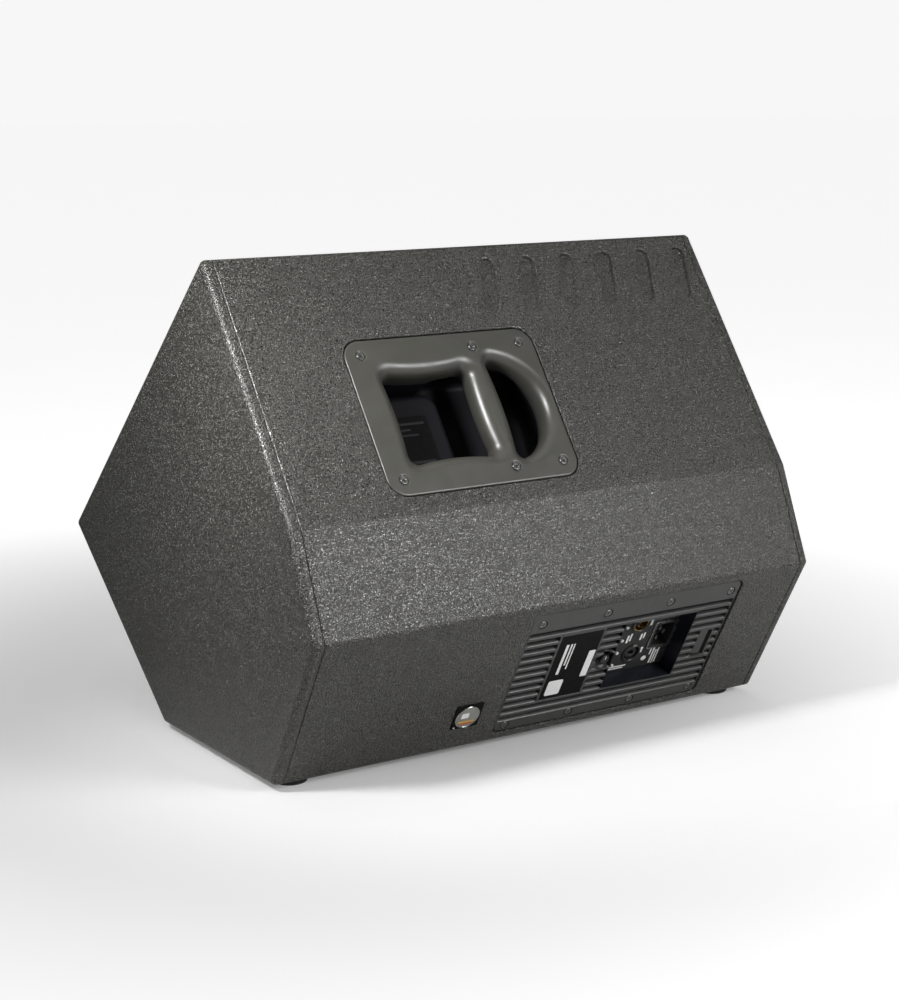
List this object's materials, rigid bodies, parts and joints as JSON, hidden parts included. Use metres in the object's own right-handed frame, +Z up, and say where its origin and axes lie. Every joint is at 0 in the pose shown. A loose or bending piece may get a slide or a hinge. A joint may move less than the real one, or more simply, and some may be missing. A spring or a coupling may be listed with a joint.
{
  "type": "stage monitor wedge",
  "caption": "Wedge-shaped powered floor loudspeaker with an angled grille front, a recessed carrying handle and a ribbed amplifier plate with a connector bay.",
  "frame": {"origin": "centre of the bounding box at floor level, with the cabinet on its floor side", "axes": "+X along the cabinet, +Y towards the grille side, +Z up; the amplifier side faces -Y"},
  "size_m": [0.62, 0.559, 0.5169],
  "materials": {
    "cabinet_paint": "textured dark grey paint on plywood",
    "grille_steel": "satin black powder coat on perforated steel",
    "foam": "black open-cell foam",
    "handle_casting": "satin dark grey coated casting",
    "amp_casting": "satin dark grey coated casting",
    "screw_steel": "dark plated steel",
    "black_plastic": "matt black moulding",
    "panel_metal": "satin dark grey paint",
    "rubber": "matt black rubber",
    "light_pipe": "clear moulding",
    "gloss_label": "black printed film",
    "paper_cone": "coated paper",
    "plated_steel": "zinc-plated steel",
    "ferrite": "sintered ferrite",
    "basket_steel": "black coated pressed steel",
    "copper_wire": "enamelled copper wire",
    "circuit_laminate": "green coated laminate",
    "sheet_steel": "bare aluminium sheet",
    "diaphragm_metal": "thin formed metal"
  },
  "bodies": {
    "cabinet": {"amp_housing": "sheet_steel", "amp_plate": "amp_casting", "amp_screw_1": "screw_steel", "amp_screw_2": "screw_steel", "amp_screw_3": "screw_steel", "amp_screw_4": "screw_steel", "amp_screw_5": "screw_steel", "amp_screw_6": "screw_steel", "amp_screw_7": "screw_steel", "amp_screw_8": "screw_steel", "baffle": "cabinet_paint", "chamfer_panel": "cabinet_paint", "circuit_board": "circuit_laminate", "connector_panel": "panel_metal", "end_panel_left": "cabinet_paint", "end_panel_right": "cabinet_paint", "floor_panel": "cabinet_paint", "foot_front_left": "rubber", "foot_front_right": "rubber", "foot_rear_left": "rubber", "foot_rear_right": "rubber", "front_lower_panel": "cabinet_paint", "gain_pot": "sheet_steel", "grille": "grille_steel", "grille_foam": "foam", "handle_cup": "handle_casting", "handle_panel": "cabinet_paint", "handle_screw_1": "screw_steel", "handle_screw_2": "screw_steel", "handle_screw_3": "screw_steel", "handle_screw_4": "screw_steel", "handle_screw_5": "screw_steel", "handle_screw_6": "screw_steel", "hf_cover": "black_plastic", "hf_driver": "ferrite", "hf_lead": "black_plastic", "horn": "black_plastic", "input_socket": "black_plastic", "label_plate": "gloss_label", "light_pipe": "light_pipe", "link_socket": "black_plastic", "mains_inlet": "black_plastic", "port_tube_lower": "black_plastic", "port_tube_upper": "black_plastic", "power_supply": "sheet_steel", "rear_panel": "cabinet_paint", "seal_badge": "gloss_label", "woofer_frame": "basket_steel", "woofer_lead": "black_plastic", "woofer_magnet": "ferrite", "woofer_spider": "foam", "woofer_surround": "rubber", "woofer_yoke": "plated_steel"},
    "woofer_moving": {"woofer_cone": "paper_cone", "dust_cap": "paper_cone", "voice_coil": "copper_wire"},
    "knob": {"gain_knob": "black_plastic"},
    "hf_moving": {"hf_diaphragm": "diaphragm_metal"}
  },
  "joints": [
    {"name": "woofer_travel", "type": "slide", "parent": "cabinet", "child": "woofer_moving", "axis": [0, 0.6866, 0.7271], "range_m": [-0.008, 0.008], "stiffness_N_per_m": 6300, "deforming": ["woofer_surround", "woofer_spider"]},
    {"name": "gain_turn", "type": "hinge", "parent": "cabinet", "child": "knob", "pos_m": [0.07, -0.22265, 0.0874], "axis": [0, -0.8738, -0.4863], "range_deg": [-150, 150]},
    {"name": "hf_travel", "type": "slide", "parent": "cabinet", "child": "hf_moving", "axis": [0, 0.6866, 0.7271], "range_m": [-0.0005, 0.0005], "stiffness_N_per_m": 4000}
  ]
}
